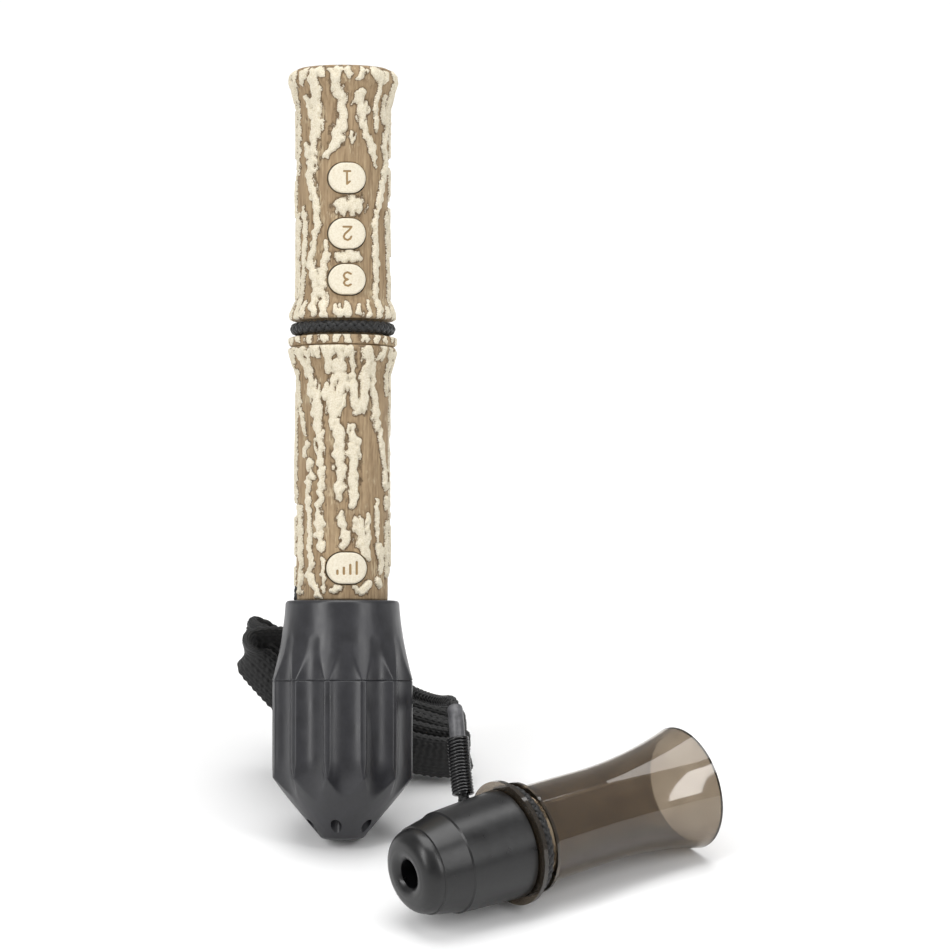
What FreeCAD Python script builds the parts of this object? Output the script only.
"""Lanyard set of two game calls.

A long bark-textured reed call with three tone pads and a volume pad stands on the tip of its
fluted bulb and leans back.  A small call with a rubber mouthpiece and a smoked bell barrel lies
beside it.  A neck lanyard joins the two.  Millimetres, +Z up, origin on the floor in the middle
of the two calls.

Every turned piece is drawn in its own call's frame: height 0 at the end that is lowest (the
bulb's tip, or the small mouthpiece's nose) and +Z along the call's axis.  In the long call's
frame -Y faces the pads.
"""
import FreeCAD
import Part
import Sketcher
import math
import os

doc = FreeCAD.newDocument("game_calls")
os.makedirs("parts", exist_ok=True)

# ---------------------------------------------------------------- driving dimensions
SIZES = {
    # where the two calls are, and how they lie
    "main_x": -40.55,
    "main_y": -18.68,
    "lean_angle": 24.0,
    "nose_x": -22.95,
    "nose_y": -69.68,
    "call_turn": 35.8,
    # bulb of the long call
    "tip_radius": 5.5,
    "tip_dome": 0.8,
    "bulb_radius": 18.9,
    "cone_height": 16.7,
    "seam_height": 42.3,
    "bulb_height": 63.5,
    "bulb_top_wall": 4.1,
    "bulb_taper_curve": 80.0,
    "bulb_edge": 1.0,
    "bulb_wall": 1.6,
    "bulb_floor": 3.0,
    "bulb_floor_radius": 4.5,
    "flute_count": 12,
    "flute_depth": 1.7,
    "flute_cutter": 7.5,
    "flute_turn": 4.0,
    "vent_count": 6,
    "vent_radius": 1.45,
    "vent_circle": 8.3,
    "vent_turn": -9.5,
    "skirt_wall": 1.5,
    "skirt_length": 4.0,
    "socket_depth": 13.0,
    "socket_step": 1.5,
    # barrel of the long call
    "barrel_bore": 8.0,
    "barrel_wall": 4.3,
    "spigot_wall": 3.0,
    "lower_length": 67.2,
    "upper_length": 73.9,
    "flange_step": 2.0,
    "flange_height": 2.6,
    "flange_run": 7.4,
    "flange_edge": 1.0,
    "flare_step": 1.6,
    "flare_height": 2.0,
    "flare_run": 3.6,
    "groove_wall": 1.2,
    "groove_width": 4.4,
    "rim_height": 2.4,
    "rim_run": 7.8,
    "rim_edge": 1.8,
    "mouth_step": 0.6,
    "mouth_depth": 13.0,
    "coupler_wall": 1.5,
    "coupler_length": 25.0,
    "coupler_low_share": 12.7,
    # reed board of the long call
    "board_drop": 9.7,
    "board_base": 20.0,
    "board_top_gap": 1.6,
    "board_bore": 3.2,
    "board_tongue_gap": 0.6,
    "board_flat": 2.0,
    "board_web": 2.0,
    "trough_width": 4.4,
    "trough_floor": 1.2,
    "trough_end": 4.0,
    "trough_entry": 3.0,
    "reed_width": 9.0,
    "reed_thickness": 0.35,
    "reed_tail_gap": 1.0,
    "reed_tip_gap": 2.0,
    "wedge_width": 8.0,
    "wedge_length": 4.2,
    "wedge_height": 2.8,
    "wedge_relief": 2.0,
    "ring_section": 0.95,
    "ring_groove": 2.2,
    # pads
    "pad_1_drop": 30.0,
    "pad_2_drop": 44.7,
    "pad_3_drop": 56.8,
    "pad_turn": 7.0,
    "pad_half_width": 4.9,
    "pad_half_height": 4.0,
    "volume_rise": 8.3,
    "volume_half_width": 5.3,
    "volume_half_height": 4.1,
    "pad_proud": 0.9,
    "pad_depth": 4.2,
    "pad_stem_radius": 1.6,
    "pad_stem_end": 5.4,
    "pad_gap": 0.3,
    # small call
    "call_rim_radius": 16.4,
    "call_length": 89.5,
    "nose_hole": 3.8,
    "nose_dish": 1.1,
    "nose_crown": 6.9,
    "nose_round": 4.4,
    "nose_radius": 11.2,
    "step_radius": 13.0,
    "step_height": 12.0,
    "step_size": 0.4,
    "rubber_wall": 5.25,
    "rubber_end": 31.2,
    "rubber_bore": 9.05,
    "nose_wall": 8.0,
    "insert_flange_thickness": 0.5,
    "insert_flange_step": 2.5,
    "collar_thickness": 1.3,
    "call_groove_wall": 1.5,
    "call_groove_width": 4.2,
    "lip_step": 3.2,
    "lip_thickness": 0.8,
    "neck_step": 1.5,
    "waist_step": 2.6,
    "bell_length": 29.5,
    "bell_wall": 1.2,
    "stem_radius": 10.0,
    "stem_length": 8.3,
    "stem_lead": 2.0,
    "insert_bore": 6.0,
    "call_board_start": 10.0,
    "call_board_end": 38.0,
    "call_board_base": 8.0,
    "call_board_flat": 1.5,
    "call_trough_width": 3.2,
    "call_reed_width": 6.4,
    "call_reed_tip_gap": 0.5,
    "call_wedge_length": 5.0,
    "call_wedge_height": 2.0,
    "call_ring_section": 0.5,
    # lanyard
    "cord_diameter": 3.2,
    "call_cord_diameter": 3.0,
    "sleeve_diameter": 4.1,
    "coil_diameter": 5.9,
    "knot_radius": 3.0,
    "knot_bite": 0.12,
    # clearances
    "loop_gap": 0.3,
    "press_gap": 0.05,
    "turn_gap": 0.05,
}

sheet = doc.addObject("Spreadsheet::Sheet", "Sizes")
for row, (name, value) in enumerate(SIZES.items(), start=1):
    sheet.set(f"A{row}", name)
    sheet.set(f"B{row}", str(value))
    sheet.setAlias(f"B{row}", name)
doc.recompute()

# ---------------------------------------------------------------- sizes that follow from those
# Radii of the long call's tubes, from the bore outwards.
COUPLER = "(barrel_bore + coupler_wall)"
GROOVE_FLOOR = f"({COUPLER} + groove_wall)"
SPIGOT = "(barrel_bore + spigot_wall)"
BARREL = "(barrel_bore + barrel_wall)"
FLANGE = f"({BARREL} + flange_step)"
FLARE = f"({BARREL} + flare_step)"
BULB_TOP = f"({SPIGOT} + bulb_top_wall)"
# Heights above the long call's tip.
SPLIT = "(bulb_height + lower_length)"
CALL_TOP = f"({SPLIT} + upper_length)"
GROOVE_LOW = f"({SPLIT} + flange_height)"
GROOVE_TOP = f"({GROOVE_LOW} + groove_width)"
LOOP_HEIGHT = f"({GROOVE_LOW} + groove_width / 2)"
COUPLER_LOW = f"({SPLIT} - coupler_low_share)"
COUPLER_TOP = f"({COUPLER_LOW} + coupler_length)"
SEAL_HEIGHT = "(bulb_height - socket_depth / 2)"
VOLUME_HEIGHT = "(bulb_height + volume_rise)"
# Radii and heights of the small call, from its nose.
RUBBER = "(rubber_bore + rubber_wall)"
COLLAR = "(rubber_end + insert_flange_thickness)"
CALL_FLOOR = "(stem_radius + call_groove_wall)"
WAIST = "(stem_radius + waist_step)"
WAIST_HEIGHT = "(call_length - bell_length)"
STEM_TOP = f"({COLLAR} + stem_length)"
CALL_GROOVE_LOW = f"({COLLAR} + collar_thickness)"
CALL_GROOVE_TOP = f"({CALL_GROOVE_LOW} + call_groove_width)"
CALL_LOOP_HEIGHT = f"({CALL_GROOVE_LOW} + call_groove_width / 2)"
CALL_RING_HEIGHT = f"({COLLAR} + stem_length / 2)"
CALL_PLUG_LOW = "(call_board_end - call_board_base)"

nodes = {}


def size(expression):
    """Value of an expression written with the sheet's own names."""
    return float(sheet.evalExpression(bound(expression)))


def bound(expression):
    """The same expression with every sheet name led by the sheet's own name."""
    words = []
    word = ""
    for letter in str(expression) + " ":
        if letter.isalnum() or letter == "_" or letter == ".":
            word += letter
            continue
        words.append("Sizes." + word if word in SIZES else word)
        words.append(letter)
        word = ""
    return "".join(words).strip()


# The long call's tip rests on the back edge of its dome when the call leans back.
MAIN_FRAME = (
    "placement(vector(main_x; main_y;"
    " tip_radius * sin(lean_angle) - tip_dome * cos(lean_angle)); rotationx(-lean_angle))"
)
# The barrels sit turned on the lanyard's groove, which carries the pads a little to the right.
BARREL_FRAME = f"{MAIN_FRAME} * placement(vector(0; 0; 0); rotationz(pad_turn))"
# The small call lies along the floor on its collar and its rim.
CALL_FRAME = "placement(vector(nose_x; nose_y; call_rim_radius); rotationz(call_turn) * rotationy(90))"


def name_node(piece, label, frame):
    """Label a finished piece, put it in its call's frame and list it for export."""
    piece.Label = label
    piece.setExpression("Placement", bound(frame))
    nodes[label] = piece
    return piece


# ---------------------------------------------------------------- ways of making a piece
def origin_plane(body, role):
    """One of a body's own origin planes."""
    return [item for item in body.Origin.OriginFeatures if item.Role == role][0]


def new_sketch(body, name, role):
    """Empty sketch on one of the body's origin planes."""
    sketch = body.newObject("Sketcher::SketchObject", name)
    sketch.AttachmentSupport = (origin_plane(body, role), [""])
    sketch.MapMode = "FlatFace"
    return sketch


def draw_outline(sketch, outline):
    """Closed outline through (across, up) points.

    A third value is the radius of the arc that leads to the point: positive bulges to the
    right of the way the outline runs, negative to the left.
    """
    spots = [FreeCAD.Vector(size(point[0]), size(point[1]), 0) for point in outline]
    arcs = []
    for index, end in enumerate(spots):
        start = spots[index - 1]
        if len(outline[index]) == 2:
            sketch.addGeometry(Part.LineSegment(start, end), False)
            continue
        radius = size(outline[index][2])
        chord = end - start
        half = chord.Length / 2
        rise = abs(radius) - math.sqrt(radius**2 - half**2)
        side = FreeCAD.Vector(chord.y, -chord.x, 0).normalize() * math.copysign(rise, radius)
        sketch.addGeometry(Part.Arc(start, (start + end) / 2 + side, end), False)
        arcs.append(index)
    last = len(outline) - 1
    for index in range(len(outline)):
        after = 0 if index == last else index + 1
        first_end, second_start = end_of(sketch, index, spots[index]), end_of(sketch, after, spots[index])
        sketch.addConstraint(Sketcher.Constraint("Coincident", index, first_end, after, second_start))
        place_end(sketch, index, first_end, outline[index])
    for index in arcs:
        radius = sketch.addConstraint(Sketcher.Constraint("Radius", index, abs(size(outline[index][2]))))
        sketch.setExpression(f"Constraints[{radius}]", bound(f"abs({outline[index][2]})"))


def end_of(sketch, edge, spot):
    """Which end of an edge, 1 or 2, lies at a spot."""
    return 1 if (sketch.getPoint(edge, 1) - spot).Length < 1e-6 else 2


def place_end(sketch, edge, end, point):
    """Hold one end of an edge at its bound distances from the origin."""
    for kind, value, axis in (("DistanceX", point[0], -2), ("DistanceY", point[1], -1)):
        if str(value) == "0":
            sketch.addConstraint(Sketcher.Constraint("PointOnObject", edge, end, axis))
            continue
        index = sketch.addConstraint(Sketcher.Constraint(kind, -1, 1, edge, end, size(value)))
        sketch.setExpression(f"Constraints[{index}]", bound(value))


def turned(name, outline):
    """Body made by turning an outline of (radius, height) points about +Z."""
    body = doc.addObject("PartDesign::Body", name)
    sketch = new_sketch(body, name + "_outline", "XZ_Plane")
    draw_outline(sketch, outline)
    turn = body.newObject("PartDesign::Revolution", name + "_turn")
    turn.Profile = sketch
    turn.ReferenceAxis = (sketch, ["V_Axis"])
    turn.Angle = 360
    body.Tip = turn
    return body


def ring_of_cuts(body, name, radius, distance, turn, count, length):
    """Round cuts parallel to the axis, from height 0 up, evenly spaced about it."""
    sketch = new_sketch(body, name + "_circle", "XY_Plane")
    angle = math.radians(size(turn) - 90)
    spot = FreeCAD.Vector(math.cos(angle), math.sin(angle), 0) * size(distance)
    sketch.addGeometry(Part.Circle(spot, FreeCAD.Vector(0, 0, 1), size(radius)), False)
    bindings = (
        ("DistanceX", f"{distance} * cos({turn} - 90)", spot.x),
        ("DistanceY", f"{distance} * sin({turn} - 90)", spot.y),
    )
    for kind, value, start in bindings:
        index = sketch.addConstraint(Sketcher.Constraint(kind, -1, 1, 0, 3, start))
        sketch.setExpression(f"Constraints[{index}]", bound(value))
    index = sketch.addConstraint(Sketcher.Constraint("Radius", 0, size(radius)))
    sketch.setExpression(f"Constraints[{index}]", bound(radius))
    cut = body.newObject("PartDesign::Pocket", name)
    cut.Profile = sketch
    cut.Reversed = True
    cut.setExpression("Length", bound(length))
    body.Tip = cut
    doc.recompute()
    pattern = body.newObject("PartDesign::PolarPattern", name + "_ring")
    pattern.Originals = [cut]
    pattern.Axis = (sketch, ["N_Axis"])
    pattern.Angle = 360
    pattern.setExpression("Occurrences", bound(count))
    body.Tip = pattern
    return body


def box(name, low, high):
    """Block between two corners, each a triple of bound sizes."""
    block = doc.addObject("Part::Box", name)
    for side, start, end in zip(("Length", "Width", "Height"), low, high):
        block.setExpression(side, bound(f"({end}) - ({start})"))
    block.setExpression("Placement.Base.x", bound(low[0]))
    block.setExpression("Placement.Base.y", bound(low[1]))
    block.setExpression("Placement.Base.z", bound(low[2]))
    return block


def rod(name, radius, height, across, near, far):
    """Round bar square to the pads, from depth near to depth far in front of the axis."""
    bar = doc.addObject("Part::Cylinder", name)
    bar.setExpression("Radius", bound(radius))
    bar.setExpression("Height", bound(f"{far} - ({near})"))
    bar.setExpression("Placement", bound(
        f"placement(vector({across}; 0 - ({near}); {height}); rotationx(90))"))
    return bar


def oval_prism(name, half_width, half_height, height, near, far):
    """Upright oval on the pad side of the barrel, from depth near to depth far."""
    flat = f"({half_width} - ({half_height}))"
    middle = box(name + "_middle", (f"0 - {flat}", f"0 - ({far})", f"{height} - ({half_height})"),
                 (flat, f"0 - ({near})", f"{height} + ({half_height})"))
    prism = doc.addObject("Part::MultiFuse", name)
    prism.Shapes = [
        middle,
        rod(name + "_left", half_height, height, f"0 - {flat}", near, far),
        rod(name + "_right", half_height, height, flat, near, far),
    ]
    return prism


def cut(name, base, tools):
    """Base with every tool taken away."""
    tool = tools[0]
    if len(tools) > 1:
        tool = doc.addObject("Part::MultiFuse", name + "_tools")
        tool.Shapes = tools
    result = doc.addObject("Part::Cut", name)
    result.Base = base
    result.Tool = tool
    return result


def o_ring(name, label, radius, section, height, frame):
    """Ring of round section about the call's axis."""
    ring = doc.addObject("Part::Torus", name)
    ring.setExpression("Radius1", bound(radius))
    ring.setExpression("Radius2", bound(section))
    return name_node(ring, label, f"{frame} * placement(vector(0; 0; {height}); rotationz(0))")


# ---------------------------------------------------------------- bulb of the long call
# The bulb is a closed sound chamber of soft grey plastic in two halves, with flutes for grip and
# a ring of small vents in the cone.  The upper half's skirt is glued inside the lower half.
BULB_BORE = "(bulb_radius - flute_depth - bulb_wall)"
FLUTE_CENTRE = "(bulb_radius - flute_depth + flute_cutter)"

bulb_lower = turned("bulb_lower", [
    ("0", "bulb_floor"),
    ("bulb_floor_radius", "bulb_floor"),
    (BULB_BORE, "cone_height + bulb_wall / 2"),
    (BULB_BORE, "seam_height"),
    ("bulb_radius", "seam_height"),
    ("bulb_radius", "cone_height"),
    ("tip_radius", "tip_dome"),
    ("0", "0", "0 - (tip_radius ^ 2 + tip_dome ^ 2) / (2 * tip_dome)"),
])
ring_of_cuts(bulb_lower, "lower_flutes", "flute_cutter", FLUTE_CENTRE, "flute_turn",
             "flute_count", "seam_height")
ring_of_cuts(bulb_lower, "vents", "vent_radius", "vent_circle", "vent_turn",
             "vent_count", "cone_height")
name_node(bulb_lower, "bulb_lower_shell", MAIN_FRAME)

SKIRT_OUT = f"{BULB_BORE} - press_gap"
SKIRT_IN = f"{BULB_BORE} - press_gap - skirt_wall"
SOCKET = f"{SPIGOT} + turn_gap"
bulb_upper = turned("bulb_upper", [
    (SKIRT_IN, "seam_height - skirt_length"),
    (SKIRT_OUT, "seam_height - skirt_length"),
    (SKIRT_OUT, "seam_height"),
    ("bulb_radius", "seam_height"),
    (BULB_TOP, "bulb_height - bulb_edge", "0 - bulb_taper_curve"),
    (f"{BULB_TOP} - bulb_edge", "bulb_height", "bulb_edge"),
    (SOCKET, "bulb_height"),
    (SOCKET, "bulb_height - socket_depth"),
    (f"{SPIGOT} - socket_step", "bulb_height - socket_depth"),
    (f"{SPIGOT} - socket_step", "bulb_height - socket_depth - socket_step"),
    (SKIRT_IN, "seam_height + socket_step"),
])
ring_of_cuts(bulb_upper, "upper_flutes", "flute_cutter", FLUTE_CENTRE, "flute_turn",
             "flute_count", "bulb_height")
name_node(bulb_upper, "bulb_upper_shell", MAIN_FRAME)

# ---------------------------------------------------------------- barrel of the long call
# Two rubber tubes with a moulded bark relief, split below the lanyard groove and held together by
# a stiff inner coupler.  The lower one ends in a spigot with a seal ring, which the bulb turns on.
lower_barrel = turned("lower_barrel_tube", [
    ("barrel_bore", "bulb_height - socket_depth"),
    (SPIGOT, "bulb_height - socket_depth"),
    (SPIGOT, f"{SEAL_HEIGHT} - ring_groove / 2"),
    (f"{SPIGOT} - 2 * ring_section", f"{SEAL_HEIGHT} - ring_groove / 2"),
    (f"{SPIGOT} - 2 * ring_section", f"{SEAL_HEIGHT} + ring_groove / 2"),
    (SPIGOT, f"{SEAL_HEIGHT} + ring_groove / 2"),
    (SPIGOT, "bulb_height"),
    (BARREL, "bulb_height"),
    (BARREL, f"{SPLIT} - flange_run"),
    (FLANGE, f"{SPLIT} - flange_edge"),
    (FLANGE, SPLIT),
    (COUPLER, SPLIT),
    (COUPLER, COUPLER_LOW),
    ("barrel_bore", COUPLER_LOW),
])
volume_window = oval_prism("volume_window", "volume_half_width + pad_gap",
                           "volume_half_height + pad_gap", VOLUME_HEIGHT,
                           "pad_stem_end", f"2 * {BARREL}")
name_node(cut("lower_barrel", lower_barrel, [volume_window]), "lower_barrel", BARREL_FRAME)

upper_barrel = turned("upper_barrel_tube", [
    (COUPLER, SPLIT),
    (FLANGE, SPLIT),
    (FLANGE, GROOVE_LOW),
    (GROOVE_FLOOR, GROOVE_LOW),
    (GROOVE_FLOOR, GROOVE_TOP),
    (FLARE, GROOVE_TOP),
    (FLARE, f"{GROOVE_TOP} + flare_height"),
    (BARREL, f"{GROOVE_TOP} + flare_height + flare_run"),
    (BARREL, f"{CALL_TOP} - rim_height - rim_run"),
    (FLANGE, f"{CALL_TOP} - rim_height - rim_edge"),
    (FLANGE, f"{CALL_TOP} - rim_edge"),
    (f"{FLANGE} - rim_edge", CALL_TOP, "rim_edge"),
    ("barrel_bore + mouth_step", CALL_TOP),
    ("barrel_bore + mouth_step", f"{CALL_TOP} - mouth_depth"),
    ("barrel_bore", f"{CALL_TOP} - mouth_depth"),
    ("barrel_bore", COUPLER_TOP),
    (COUPLER, COUPLER_TOP),
])
tone_windows = [
    oval_prism(f"tone_window_{number}", "pad_half_width + pad_gap", "pad_half_height + pad_gap",
               f"{CALL_TOP} - pad_{number}_drop", "pad_stem_end", f"2 * {BARREL}")
    for number in (1, 2, 3)
]
name_node(cut("upper_barrel", upper_barrel, tone_windows), "upper_barrel", BARREL_FRAME)

coupler = turned("coupler", [
    ("barrel_bore", COUPLER_LOW),
    (f"{COUPLER} - press_gap", COUPLER_LOW),
    (f"{COUPLER} - press_gap", COUPLER_TOP),
    ("barrel_bore", COUPLER_TOP),
])
name_node(coupler, "barrel_coupler", MAIN_FRAME)
o_ring("seal_ring", "bulb_seal_ring", f"{SPIGOT} - ring_section", "ring_section",
       SEAL_HEIGHT, MAIN_FRAME)


# ---------------------------------------------------------------- pads
# Four oval rubber pads stand a little proud of the barrel.  Each is pressed inwards through its
# window, and its stem reaches towards the reed.
def press_pad(label, half_width, half_height, height):
    """Oval pad whose crown follows the barrel, with a round stem behind it."""
    crown = turned(label + "_crown", [
        (f"{BARREL} + pad_proud - pad_depth", f"{height} - 2 * ({half_height})"),
        (f"{BARREL} + pad_proud", f"{height} - 2 * ({half_height})"),
        (f"{BARREL} + pad_proud", f"{height} + 2 * ({half_height})"),
        (f"{BARREL} + pad_proud - pad_depth", f"{height} + 2 * ({half_height})"),
    ])
    outline = oval_prism(label + "_outline", half_width, half_height, height,
                         "pad_stem_end", f"2 * {BARREL}")
    head = doc.addObject("Part::Common", label + "_head")
    head.Base = crown
    head.Tool = outline
    stem = rod(label + "_stem", "pad_stem_radius", height, "0", "pad_stem_end",
               f"{BARREL} - pad_depth / 2")
    pad = doc.addObject("Part::Fuse", label)
    pad.Base = head
    pad.Tool = stem
    name_node(pad, label, BARREL_FRAME)


for number in (1, 2, 3):
    press_pad(f"tone_pad_{number}", "pad_half_width", "pad_half_height",
              f"({CALL_TOP} - pad_{number}_drop)")
press_pad("volume_pad", "volume_half_width", "volume_half_height", VOLUME_HEIGHT)


# ---------------------------------------------------------------- reed boards
# A reed board is a plug with a flat, troughed tongue.  The reed lies on the flat over the trough
# and a wedge holds its tail.  The wedge's underside slopes up, so the reed can lift.
def reed_parts(prefix, frame, low, high, plug_low, plug_high, fits):
    """Board, reed and wedge between two heights; the plug end holds the reed's tail."""
    plug_at_low = size(plug_low) <= size(low) + 1e-9
    tail = plug_high if plug_at_low else plug_low
    way = "+" if plug_at_low else "-"

    def span(start, length):
        """Two heights, lower first, that begin at a distance from the plug's face."""
        near = f"{tail} {way} ({start})"
        far = f"{tail} {way} ({start}) {way} ({length})"
        return (near, far) if plug_at_low else (far, near)

    blank = turned(prefix + "board_blank", fits["blank"])
    tongue = f"(({high}) - ({low}) - (({plug_high}) - ({plug_low})))"
    free = span("0", tongue)
    side = fits["bore"]
    flat = box(prefix + "board_flat", (f"0 - {side}", f"0 - {side}", free[0]),
               (side, f"0 - {fits['flat']}", free[1]))
    trough_span = span("0 - trough_entry", f"trough_entry + {tongue} - trough_end")
    trough = box(prefix + "board_trough",
                 (f"0 - {fits['trough']} / 2", f"0 - {fits['flat']}", trough_span[0]),
                 (f"{fits['trough']} / 2", "trough_floor", trough_span[1]))
    name_node(cut(prefix + "board", blank, [flat, trough]), prefix + "reed_board", frame)

    reed_span = span("reed_tail_gap", f"{tongue} - reed_tail_gap - {fits['tip_gap']}")
    reed = box(prefix + "reed_strip",
               (f"0 - {fits['reed_width']} / 2", f"0 - {fits['flat']} - reed_thickness", reed_span[0]),
               (f"{fits['reed_width']} / 2", f"0 - {fits['flat']}", reed_span[1]))
    carrier = doc.addObject("Part::Compound", prefix + "reed_carrier")
    carrier.Links = [reed]
    name_node(carrier, prefix + "reed", frame)

    wedge = doc.addObject("PartDesign::Body", prefix + "wedge_body")
    sketch = new_sketch(wedge, prefix + "wedge_side", "YZ_Plane")
    under = f"{fits['flat']} + reed_thickness + press_gap"
    relief = f"{fits['wedge_length']} * tan(wedge_relief)"
    back = f"{tail} {way} reed_tail_gap / 2"
    front = f"{tail} {way} reed_tail_gap / 2 {way} {fits['wedge_length']}"
    draw_outline(sketch, [
        (f"0 - ({under})", back),
        (f"0 - ({under}) - ({fits['wedge_height']})", back),
        (f"0 - ({under}) - ({fits['wedge_height']})", front),
        (f"0 - ({under}) - ({relief})", front),
    ])
    grow = wedge.newObject("PartDesign::Pad", prefix + "wedge_pad")
    grow.Profile = sketch
    grow.Midplane = True
    grow.setExpression("Length", bound(fits["wedge_width"]))
    wedge.Tip = grow
    name_node(wedge, prefix + "reed_wedge", frame)


BOARD_LOW = f"({SPLIT} - board_drop)"
BOARD_TOP = f"({CALL_TOP} - mouth_depth - board_top_gap)"
PLUG_TOP = f"({BOARD_LOW} + board_base)"
PLUG = "barrel_bore - press_gap"
TONGUE = "barrel_bore - board_tongue_gap"
RING_HEIGHTS = (f"{BOARD_LOW} + board_base / 4", f"{BOARD_LOW} + board_base * 3 / 4")
grooved_plug = [("board_bore", BOARD_LOW), (PLUG, BOARD_LOW)]
for height in RING_HEIGHTS:
    grooved_plug += [
        (PLUG, f"{height} - ring_groove / 2"),
        ("barrel_bore - 2 * ring_section", f"{height} - ring_groove / 2"),
        ("barrel_bore - 2 * ring_section", f"{height} + ring_groove / 2"),
        (PLUG, f"{height} + ring_groove / 2"),
    ]
reed_parts("", BARREL_FRAME, BOARD_LOW, BOARD_TOP, BOARD_LOW, PLUG_TOP, {
    "blank": grooved_plug + [
        (PLUG, PLUG_TOP),
        (TONGUE, PLUG_TOP),
        (TONGUE, BOARD_TOP),
        ("0", BOARD_TOP),
        ("0", f"{PLUG_TOP} - board_web"),
        ("board_bore", f"{PLUG_TOP} - board_web"),
    ],
    "bore": "barrel_bore",
    "flat": "board_flat",
    "trough": "trough_width",
    "tip_gap": "reed_tip_gap",
    "reed_width": "reed_width",
    "wedge_length": "wedge_length",
    "wedge_height": "wedge_height",
    "wedge_width": "wedge_width",
})
board_rings = [
    doc.addObject("Part::Torus", f"board_ring_{number}") for number in range(len(RING_HEIGHTS))
]
for ring, height in zip(board_rings, RING_HEIGHTS):
    ring.setExpression("Radius1", bound("barrel_bore - ring_section"))
    ring.setExpression("Radius2", bound("ring_section"))
    ring.setExpression("Placement.Base.z", bound(height))
ring_pair = doc.addObject("Part::Compound", "board_rings")
ring_pair.Links = board_rings
name_node(ring_pair, "reed_board_rings", MAIN_FRAME)

# ---------------------------------------------------------------- small call
# A black rubber mouthpiece sits on a plastic insert that holds the small reed.  The insert's stem
# plugs into a clear smoked barrel with a collar, a lanyard groove, a waist and a flared bell.
mouthpiece = turned("mouthpiece", [
    ("nose_hole", "nose_dish"),
    ("nose_crown", "0", "nose_crown - nose_hole"),
    ("nose_radius", "nose_round", "nose_round"),
    ("nose_radius + step_size", "nose_round + step_size / 2"),
    ("step_radius", "step_height"),
    ("step_radius + step_size", "step_height + step_size"),
    (RUBBER, "rubber_end"),
    ("rubber_bore", "rubber_end"),
    ("rubber_bore", "nose_wall"),
    ("nose_hole", "nose_wall"),
])
name_node(mouthpiece, "call_mouthpiece", CALL_FRAME)

STEM = "stem_radius - turn_gap"
insert = turned("insert", [
    ("insert_bore", "nose_wall + press_gap"),
    ("rubber_bore - press_gap", "nose_wall + press_gap"),
    ("rubber_bore - press_gap", "rubber_end"),
    ("stem_radius + insert_flange_step", "rubber_end"),
    ("stem_radius + insert_flange_step", COLLAR),
    (STEM, COLLAR),
    (STEM, f"{CALL_RING_HEIGHT} - 2 * call_ring_section"),
    ("stem_radius - 2 * call_ring_section - turn_gap", f"{CALL_RING_HEIGHT} - 2 * call_ring_section"),
    ("stem_radius - 2 * call_ring_section - turn_gap", f"{CALL_RING_HEIGHT} + 2 * call_ring_section"),
    (STEM, f"{CALL_RING_HEIGHT} + 2 * call_ring_section"),
    (STEM, STEM_TOP),
    ("insert_bore", STEM_TOP),
])
name_node(insert, "call_insert", CALL_FRAME)
o_ring("call_seal", "call_seal_ring", "stem_radius - turn_gap - call_ring_section",
       "call_ring_section", CALL_RING_HEIGHT, CALL_FRAME)

CALL_PLUG = "insert_bore - press_gap"
reed_parts("call_", CALL_FRAME, "call_board_start", "call_board_end",
           CALL_PLUG_LOW, "call_board_end", {
    "blank": [
        ("0", "call_board_start"),
        (CALL_PLUG, "call_board_start"),
        (CALL_PLUG, "call_board_end"),
        ("call_trough_width / 2", "call_board_end"),
        ("call_trough_width / 2", f"{CALL_PLUG_LOW} + board_web"),
        ("0", f"{CALL_PLUG_LOW} + board_web"),
    ],
    "bore": "insert_bore",
    "flat": "call_board_flat",
    "trough": "call_trough_width",
    "tip_gap": "call_reed_tip_gap",
    "reed_width": "call_reed_width",
    "wedge_length": "call_wedge_length",
    "wedge_height": "call_wedge_height",
    "wedge_width": "call_reed_width",
})

BELL_RISE = f"(call_rim_radius - {WAIST})"
BELL_CURVE = f"(bell_length ^ 2 + {BELL_RISE} ^ 2) / (2 * {BELL_RISE})"
bell = turned("bell", [
    ("stem_radius", COLLAR),
    ("call_rim_radius", COLLAR),
    ("call_rim_radius", CALL_GROOVE_LOW),
    (CALL_FLOOR, CALL_GROOVE_LOW),
    (CALL_FLOOR, CALL_GROOVE_TOP),
    (f"{CALL_FLOOR} + lip_step", CALL_GROOVE_TOP),
    (f"{CALL_FLOOR} + lip_step", f"{CALL_GROOVE_TOP} + lip_thickness"),
    (f"{CALL_FLOOR} + neck_step", f"{CALL_GROOVE_TOP} + 2 * lip_thickness"),
    (WAIST, WAIST_HEIGHT),
    ("call_rim_radius", "call_length", f"0 - {BELL_CURVE}"),
    ("call_rim_radius - bell_wall", "call_length"),
    (f"{WAIST} - bell_wall", WAIST_HEIGHT, BELL_CURVE),
    (f"{WAIST} - bell_wall", f"{STEM_TOP} + stem_lead"),
    ("stem_radius", STEM_TOP),
])
name_node(bell, "call_bell_barrel", CALL_FRAME)

# ---------------------------------------------------------------- lanyard
# Braided cord is looped round each call in its groove.  The long call's cord hangs down behind it
# to a folded knitted neck strap, and the other cord runs from the strap's far end through a
# clear sleeve and a close-wound black coil to the small call's loop.
o_ring("barrel_loop_ring", "barrel_cord_loop", f"{GROOVE_FLOOR} + press_gap + cord_diameter / 2",
       "cord_diameter / 2", LOOP_HEIGHT, MAIN_FRAME)
o_ring("call_loop_ring", "call_cord_loop", f"{CALL_FLOOR} + loop_gap + call_cord_diameter / 2",
       "call_cord_diameter / 2", CALL_LOOP_HEIGHT, CALL_FRAME)

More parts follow.
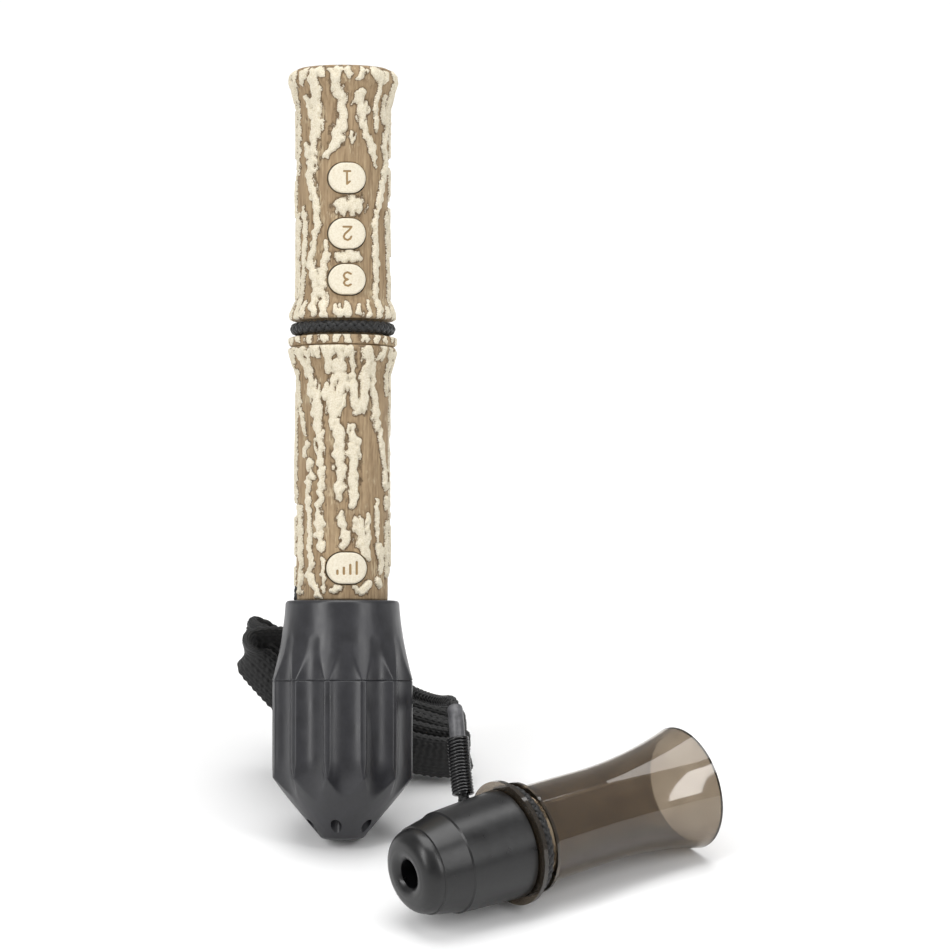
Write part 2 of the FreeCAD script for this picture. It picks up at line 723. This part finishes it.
BARREL_CORD = [
    (-40.3, 52.2, 117.4),
    (-40.6, 53.0, 104.0),
    (-43.0, 52.4, 91.0),
    (-47.2, 50.4, 78.5),
    (-51.2, 47.0, 66.0),
    (-52.9, 42.4, 54.0),
    (-53.4, 37.6, 41.5),
]
CALL_CORD = [
    (-33.8, 30.2, 28.0),
    (-27.0, 22.5, 29.0),
    (-19.6, 12.0, 29.6),
    (-14.2, -0.5, 33.6),
    (-10.8, -12.5, 39.5),
    (-10.0, -19.6, 32.2),
    (-9.0, -25.6, 21.5),
    (-7.5, -30.9, 14.0),
    (-2.1, -38.6, 13.0),
]


# Share of the shorter of two runs that the arc between them takes up.
ARC_REACH = 0.45


def rounded_path(points):
    """Straight runs joined by tangent arcs, each as large as its two runs allow."""
    spots = [FreeCAD.Vector(*point) for point in points]
    edges = []
    start = spots[0]
    radii = []
    for before, corner, after in zip(spots, spots[1:], spots[2:]):
        back = (before - corner).normalize()
        ahead = (after - corner).normalize()
        half_turn = (math.pi - back.getAngle(ahead)) / 2
        reach = ARC_REACH * min((before - corner).Length, (after - corner).Length)
        radius = reach / math.tan(half_turn)
        radii.append(round(radius, 1))
        arc_start = corner + back * reach
        arc_end = corner + ahead * reach
        inward = (back + ahead).normalize()
        middle = corner + inward * (radius / math.cos(half_turn) - radius)
        edges.append(Part.LineSegment(start, arc_start).toShape())
        edges.append(Part.Arc(arc_start, middle, arc_end).toShape())
        start = arc_end
    edges.append(Part.LineSegment(start, spots[-1]).toShape())
    return Part.Wire(edges), radii


def cord(label, points, diameter):
    """Round tube along a rounded path; prints its bends, length and volume."""
    path, radii = rounded_path(points)
    radius = size(diameter) / 2
    heading = FreeCAD.Vector(*points[1]) - FreeCAD.Vector(*points[0])
    section = Part.Wire([Part.makeCircle(radius, FreeCAD.Vector(*points[0]), heading)])
    tube = path.makePipeShell([section], True, False)
    expected = math.pi * radius**2 * path.Length
    print(f"{label}: length {path.Length:.1f}, radii {radii}, volume {tube.Volume / expected:.3f}")
    piece = doc.addObject("Part::Feature", label)
    piece.Shape = tube
    nodes[label] = piece


cord("barrel_cord", BARREL_CORD, "cord_diameter")
cord("call_cord", CALL_CORD, "cord_diameter")


def sleeve_on_cord(label, start, end, outer, inner):
    """Straight hollow sleeve between two points of a cord's route."""
    low = FreeCAD.Vector(*start)
    way = FreeCAD.Vector(*end) - low
    outside = Part.makeCylinder(outer / 2, way.Length, low, way)
    piece = doc.addObject("Part::Feature", label)
    piece.Shape = outside.cut(Part.makeCylinder(inner / 2, way.Length, low, way))
    nodes[label] = piece


def along(start, end, share):
    """Point part of the way from one point to another."""
    return tuple(a + (b - a) * share for a, b in zip(start, end))


cord_bore = size("cord_diameter + 2 * press_gap")
sleeve_on_cord("clear_sleeve", along(CALL_CORD[4], CALL_CORD[5], 0.3),
               along(CALL_CORD[4], CALL_CORD[5], 0.97), size("sleeve_diameter"), cord_bore)
sleeve_on_cord("coil_sleeve", CALL_CORD[5], along(CALL_CORD[6], CALL_CORD[7], 0.2),
               size("coil_diameter"), size("sleeve_diameter + 2 * press_gap"))

knot = doc.addObject("Part::Sphere", "loop_knot")
knot.setExpression("Radius", bound("knot_radius"))
KNOT_CENTRE = f"{GROOVE_FLOOR} + press_gap + cord_diameter + knot_radius - knot_bite"
name_node(knot, "barrel_knot",
          f"{MAIN_FRAME} * placement(vector(0; {KNOT_CENTRE}; {LOOP_HEIGHT}); rotationz(0))")

# The folded strap is one closed solid of the bundle's outer shape, standing on the floor
# behind the bulb.  Its outline is seen from the front, and it is as deep as its folds.
STRAP_OUTLINE = [
    (-62.0, 0.0),
    (-62.0, 18.0),
    (-70.5, 31.0),
    (-71.0, 37.0),
    (-63.5, 43.5),
    (-50.0, 43.5),
    (-40.0, 27.0),
    (-31.0, 28.5),
    (-31.0, 20.0),
    (-10.0, 14.5),
    (-4.5, 13.0),
    (-4.0, 5.0),
    (-9.0, 0.0),
]
STRAP_FRONT = 17.6
STRAP_BACK = 44.0
strap_face = Part.Face(Part.makePolygon(
    [FreeCAD.Vector(x, STRAP_FRONT, z) for x, z in STRAP_OUTLINE + STRAP_OUTLINE[:1]]))
strap = doc.addObject("Part::Feature", "neck_strap")
strap.Shape = strap_face.extrude(FreeCAD.Vector(0, STRAP_BACK - STRAP_FRONT, 0))
nodes["neck_strap"] = strap

# ---------------------------------------------------------------- check and write
doc.recompute()
for item in doc.Objects:
    if "Invalid" in item.State or "Error" in item.State:
        raise SystemExit(f"{item.Label} did not compute: {item.State}")
for label, piece in nodes.items():
    shape = piece.Shape
    if shape.isNull() or not shape.isValid() or not shape.Solids:
        raise SystemExit(f"{label} has no valid solid")
    shape.exportStep(f"parts/{label}.step")
print(len(nodes), "nodes written")
